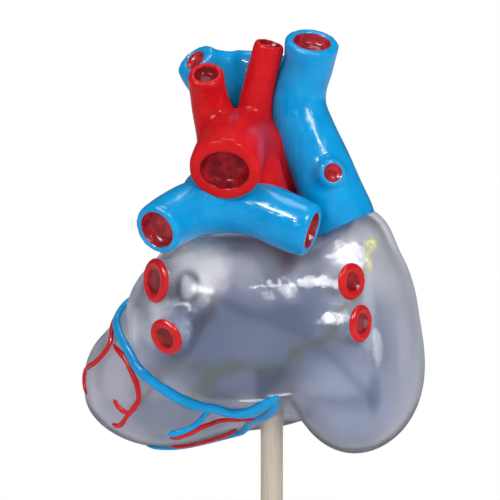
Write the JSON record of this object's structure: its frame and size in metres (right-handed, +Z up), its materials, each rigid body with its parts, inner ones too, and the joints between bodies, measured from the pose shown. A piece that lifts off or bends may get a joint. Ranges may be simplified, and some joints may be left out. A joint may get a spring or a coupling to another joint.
{
  "type": "human heart anatomy model",
  "caption": "Life-size human heart teaching model: clear hollow body with red and blue vessels and a removable front wall, free to turn on a rod stand.",
  "frame": {"origin": "centre of the base's underside on the floor, under the rod's axis", "axes": "+Z up along the rod, +Y to the heart's back where the pulmonary veins enter, +X to the side of the apex"},
  "size_m": [0.1254, 0.088, 0.1884],
  "materials": {
    "clear_plastic": "smoky clear cast resin, polished, with soft waves",
    "inner_plastic": "clear cast resin, satin",
    "red_paint": "gloss red lacquer on cast resin, dark red in the bores",
    "blue_paint": "gloss blue lacquer on cast resin, dark red in the bores",
    "yellow_paint": "yellow paint",
    "rod_steel": "drawn round bar, satin",
    "bright_metal": "nickel plated",
    "base_plastic": "moulded, fine grain",
    "sleeve_plastic": "natural nylon",
    "pad_rubber": "foam rubber sheet"
  },
  "bodies": {
    "stand": {"base_plate": "base_plastic", "base_pad": "pad_rubber", "rod_screw": "bright_metal", "rod_washer": "bright_metal", "stand_rod": "rod_steel"},
    "sleeve": {"rod_sleeve": "sleeve_plastic"},
    "heart": {"atrial_shell": "clear_plastic", "ventricular_shell": "clear_plastic", "valve_plate": "inner_plastic", "ventricular_septum": "inner_plastic", "atrial_septum": "inner_plastic", "papillary_muscle_back": "inner_plastic", "papillary_muscle_side": "inner_plastic", "papillary_muscle_right": "inner_plastic", "mitral_valve": "inner_plastic", "tricuspid_valve": "inner_plastic", "aortic_valve": "inner_plastic", "pulmonary_valve": "inner_plastic", "rod_socket": "inner_plastic", "sinus_node": "yellow_paint", "atrioventricular_node": "yellow_paint", "internodal_tract": "yellow_paint", "bundle_of_his": "yellow_paint", "left_bundle_branch": "yellow_paint", "right_bundle_branch": "yellow_paint", "aorta": "red_paint", "left_arch_artery": "red_paint", "right_arch_artery": "red_paint", "left_upper_pulmonary_vein": "red_paint", "left_lower_pulmonary_vein": "red_paint", "right_upper_pulmonary_vein": "red_paint", "right_lower_pulmonary_vein": "red_paint", "left_marginal_artery": "red_paint", "posterolateral_artery": "red_paint", "posterior_ventricular_artery": "red_paint", "posterior_descending_artery": "red_paint", "superior_vena_cava": "blue_paint", "left_brachiocephalic_vein": "blue_paint", "pulmonary_artery": "blue_paint", "coronary_sinus": "blue_paint", "posterior_ventricular_vein": "blue_paint", "middle_cardiac_vein": "blue_paint", "shell_magnet_left": "bright_metal", "shell_magnet_right": "bright_metal", "locating_pin_side": "bright_metal", "locating_pin_low": "bright_metal"},
    "front_wall": {"front_heart_wall": "clear_plastic", "wall_magnet_left": "bright_metal", "wall_magnet_right": "bright_metal", "left_anterior_descending_artery": "red_paint", "great_cardiac_vein": "blue_paint", "right_marginal_artery": "red_paint"}
  },
  "joints": [
    {"name": "heart_lift", "type": "slide", "parent": "stand", "child": "sleeve", "axis": [0, 0, 1], "range_m": [0, 0.03]},
    {"name": "heart_turn", "type": "hinge", "parent": "sleeve", "child": "heart", "pos_m": [0, 0, 0.06], "axis": [0, 0, 1], "continuous": true},
    {"name": "front_wall_off", "type": "slide", "parent": "heart", "child": "front_wall", "axis": [0, -1, 0], "range_m": [0, 0.06]}
  ]
}
